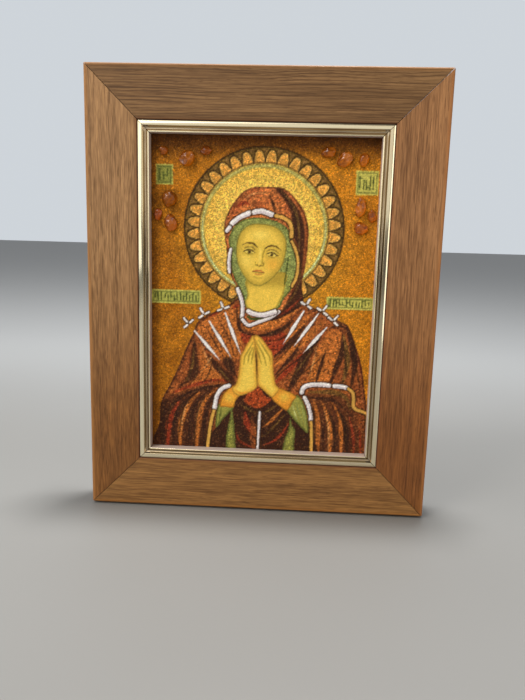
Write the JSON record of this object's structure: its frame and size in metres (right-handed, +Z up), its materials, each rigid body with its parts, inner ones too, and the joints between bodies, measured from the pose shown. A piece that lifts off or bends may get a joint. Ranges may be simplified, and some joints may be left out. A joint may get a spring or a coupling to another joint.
{
  "type": "framed amber icon panel",
  "caption": "Wall-hung devotional picture covered in amber crumb, with polished amber nuggets, a gold slip and a mitred oak frame.",
  "frame": {"origin": "centre of the top rail's flat back face, where the frame lies against the wall it hangs on", "axes": "+X to the viewer's right across the picture, +Y backwards into the wall, +Z up"},
  "size_m": [0.224, 0.024, 0.2839],
  "materials": {
    "oak": "satin oiled oak with open grain and ray flecks",
    "gilt": "champagne-gold foiled moulding, mirror-like with faint streaks",
    "crumb_picture": "painted picture under glued amber crumb, glassy grains about a millimetre across",
    "amber": "polished cognac amber, some of it milky",
    "hardboard": "plain brown hardboard",
    "steel": "zinc-plated, slightly dull"
  },
  "bodies": {
    "root": {"frame_rail_top": "oak", "frame_rail_right": "oak", "frame_rail_bottom": "oak", "frame_rail_left": "oak", "slip_top": "gilt", "slip_right": "gilt", "slip_bottom": "gilt", "slip_left": "gilt", "icon_board": "crumb_picture", "amber_nugget_01": "amber", "amber_nugget_02": "amber", "amber_nugget_03": "amber", "amber_nugget_04": "amber", "amber_nugget_05": "amber", "amber_nugget_06": "amber", "amber_nugget_07": "amber", "amber_nugget_08": "amber", "amber_nugget_09": "amber", "amber_nugget_10": "amber", "amber_nugget_11": "amber", "amber_nugget_12": "amber", "back_board": "hardboard", "backing_tab_1": "steel", "backing_tab_2": "steel", "backing_tab_3": "steel", "backing_tab_4": "steel", "backing_tab_5": "steel", "backing_tab_6": "steel", "hanger_strap": "steel", "hanger_ring": "steel", "hanger_rivet_1": "steel", "hanger_rivet_2": "steel"}
  },
  "joints": []
}
